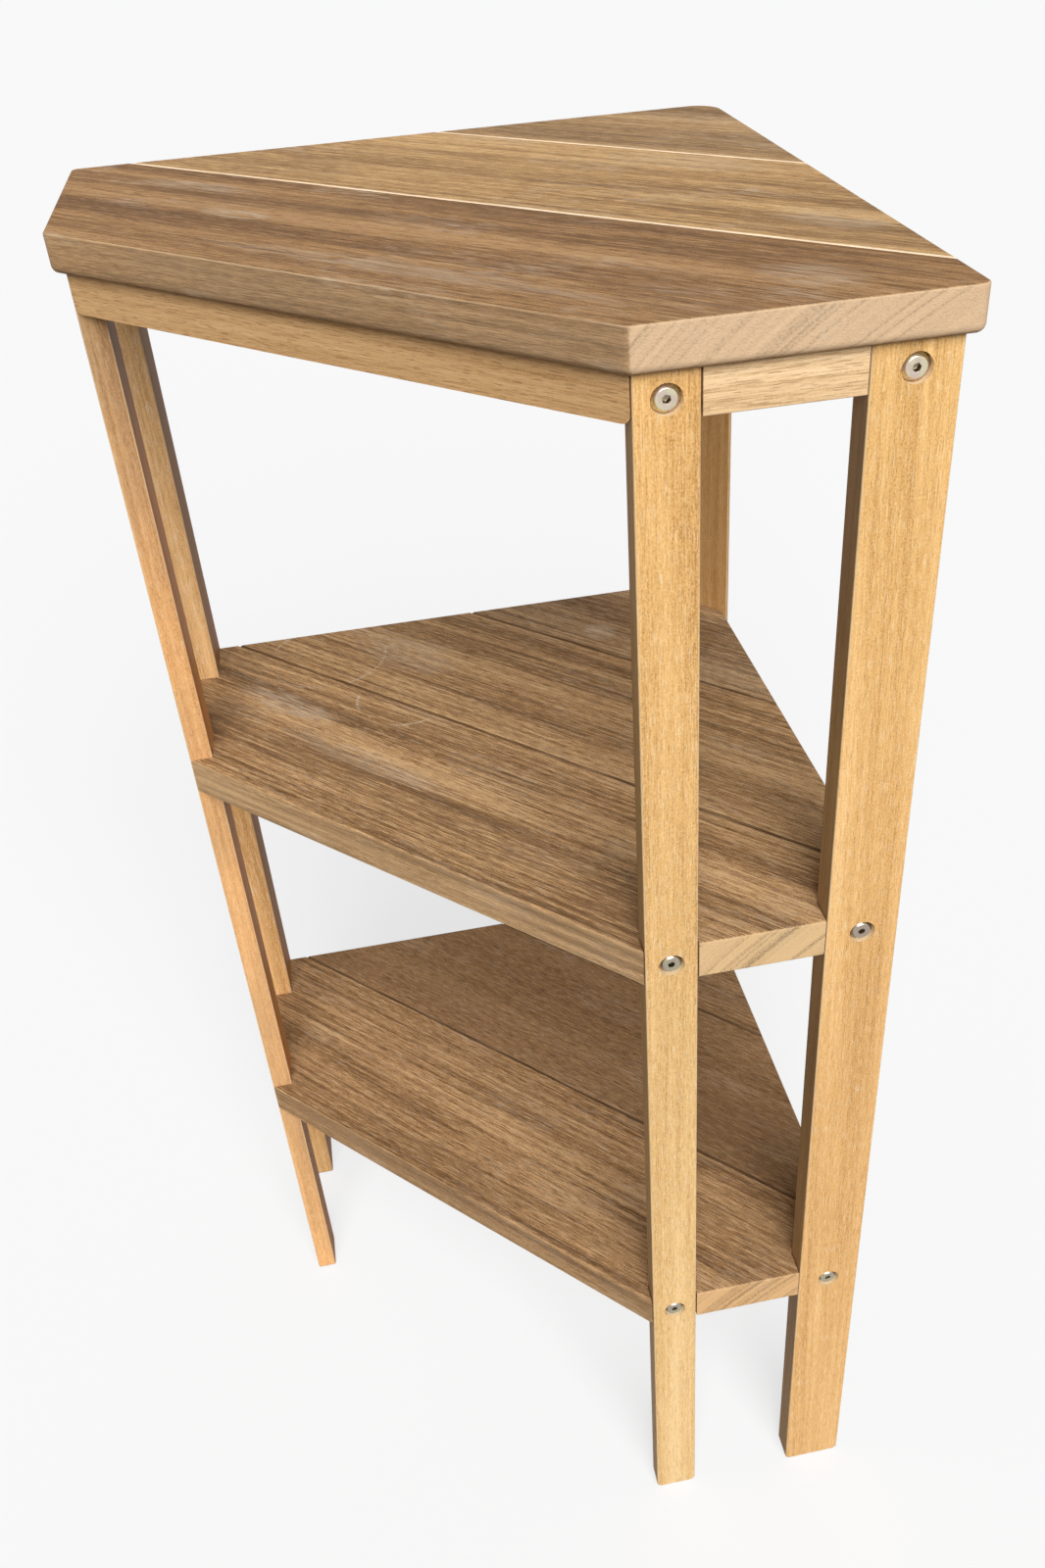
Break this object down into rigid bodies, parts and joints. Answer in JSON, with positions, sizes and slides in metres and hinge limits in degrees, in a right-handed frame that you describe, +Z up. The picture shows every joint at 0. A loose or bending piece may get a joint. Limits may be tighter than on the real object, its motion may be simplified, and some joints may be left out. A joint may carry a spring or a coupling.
{
  "type": "corner storage shelf",
  "caption": "Free-standing wooden corner shelf: grooved board top and shelves with a straight front, notched round bolted slat legs.",
  "frame": {"origin": "on the floor under the middle of the top's bounding box", "axes": "+Z up, front towards -Y, +X to the right as seen from the front; the room's corner is towards +Y"},
  "size_m": [0.6336, 0.4308, 1.012],
  "materials": {
    "top_wood": "oiled, weathered",
    "shelf_wood": "oiled, weathered",
    "leg_wood": "oiled, weathered",
    "rail_wood": "oiled, weathered",
    "dowel_wood": "oiled, weathered",
    "plated_steel": "yellow zinc plated",
    "insert_brass": "plain",
    "screw_steel": "zinc plated"
  },
  "bodies": {
    "root": {"top_front_board": "top_wood", "top_middle_board": "top_wood", "top_rear_board": "top_wood", "top_dowels": "dowel_wood", "top_inserts": "insert_brass", "middle_shelf_front_board": "shelf_wood", "middle_shelf_middle_board": "shelf_wood", "middle_shelf_rear_board": "shelf_wood", "middle_shelf_dowels": "dowel_wood", "middle_shelf_inserts": "insert_brass", "lower_shelf_front_board": "shelf_wood", "lower_shelf_middle_board": "shelf_wood", "lower_shelf_rear_board": "shelf_wood", "lower_shelf_dowels": "dowel_wood", "lower_shelf_inserts": "insert_brass", "right_front_leg": "leg_wood", "right_front_leg_bolts": "plated_steel", "right_back_leg": "leg_wood", "right_back_leg_bolts": "plated_steel", "left_front_leg": "leg_wood", "left_front_leg_bolts": "plated_steel", "left_back_leg": "leg_wood", "left_back_leg_bolts": "plated_steel", "rear_leg": "leg_wood", "rear_leg_bolts": "plated_steel", "front_rail": "rail_wood", "right_side_rail": "rail_wood", "left_side_rail": "rail_wood", "rear_block": "rail_wood", "rail_screws": "screw_steel"}
  },
  "joints": []
}
